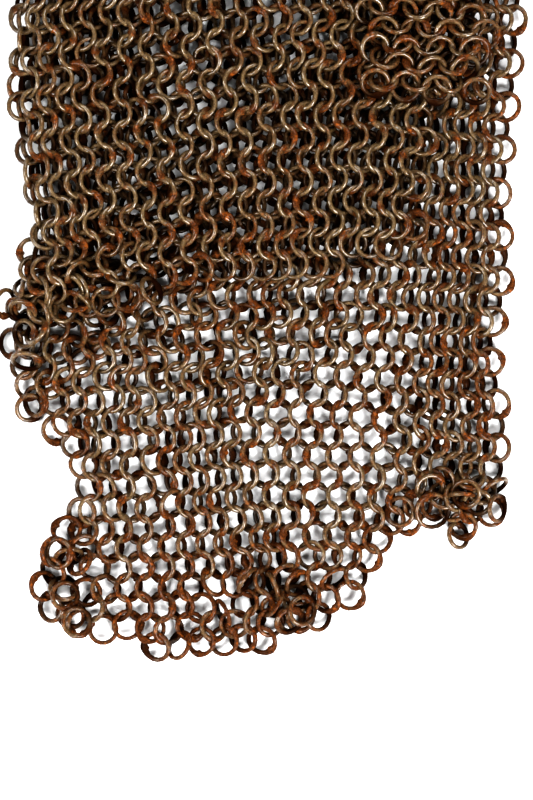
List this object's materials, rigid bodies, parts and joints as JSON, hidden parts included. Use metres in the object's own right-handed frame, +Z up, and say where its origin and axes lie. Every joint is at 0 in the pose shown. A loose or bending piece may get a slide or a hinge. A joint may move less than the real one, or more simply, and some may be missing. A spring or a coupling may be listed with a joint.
{
  "type": "chainmail hauberk",
  "caption": "Short-sleeved mail hauberk of linked riveted iron rings, rusted, laid flat with its split skirt spread, to clothe a figure or lie in a display.",
  "frame": {"origin": "middle of the garment's outline as it lies, on the surface under it", "axes": "+Y towards the shoulders, +Z up away from the surface, -X towards the wearer's right"},
  "size_m": [0.86, 0.94, 0.0198],
  "materials": {
    "riveted_mail": "iron wire with brown rust, orange at the riveted laps and rubbed bright on the crowns"
  },
  "bodies": {
    "root": {"back_body": "riveted_mail", "front_body": "riveted_mail", "back_skirt_right": "riveted_mail", "back_skirt_left": "riveted_mail", "front_skirt_right": "riveted_mail", "front_skirt_left": "riveted_mail", "right_sleeve_back": "riveted_mail", "right_sleeve_front": "riveted_mail", "left_sleeve_back": "riveted_mail", "left_sleeve_front": "riveted_mail"}
  },
  "joints": []
}
